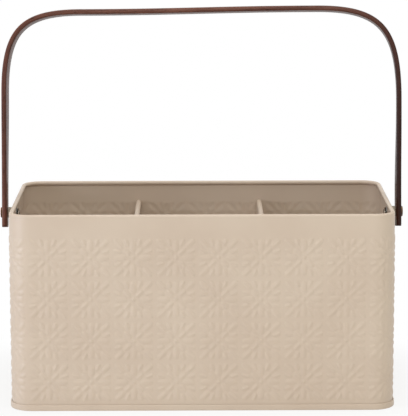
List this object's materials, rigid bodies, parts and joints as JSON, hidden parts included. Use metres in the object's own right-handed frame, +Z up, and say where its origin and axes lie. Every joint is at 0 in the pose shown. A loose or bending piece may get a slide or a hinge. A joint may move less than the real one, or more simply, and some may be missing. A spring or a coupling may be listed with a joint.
{
  "type": "utility caddy",
  "caption": "Rectangular painted sheet metal caddy with upright compartments, a rolled rim, a seamed base and a swinging bentwood carrying handle.",
  "frame": {"origin": "on the surface that the caddy stands on, under the middle of the box", "axes": "+X to the right along the box, +Y to the back, +Z up"},
  "size_m": [0.3566, 0.1786, 0.3383],
  "materials": {
    "paint": "satin taupe paint over an embossed lattice of small sunbursts",
    "handle_wood": "dark stained bentwood with a satin varnish",
    "spacer_paint": "satin paint in the colour of the box",
    "dark_bronze": "dark bronze plating, slightly glossy",
    "bright_zinc": "bright zinc plating",
    "bright_nickel": "bright nickel plating"
  },
  "bodies": {
    "caddy": {"body_wall": "paint", "base_pan": "paint", "divider_left": "paint", "divider_right": "paint", "spacer_left": "spacer_paint", "spacer_right": "spacer_paint", "pivot_screw_left": "dark_bronze", "pivot_screw_right": "dark_bronze", "washer_left": "bright_zinc", "washer_right": "bright_zinc", "pivot_nut_left": "bright_nickel", "pivot_nut_right": "bright_nickel"},
    "handle": {"handle_strip": "handle_wood"}
  },
  "joints": [
    {"name": "handle_swing", "type": "hinge", "parent": "caddy", "child": "handle", "pos_m": [0, 0, 0.1575], "axis": [1, 0, 0], "range_deg": [-133, 153]}
  ]
}
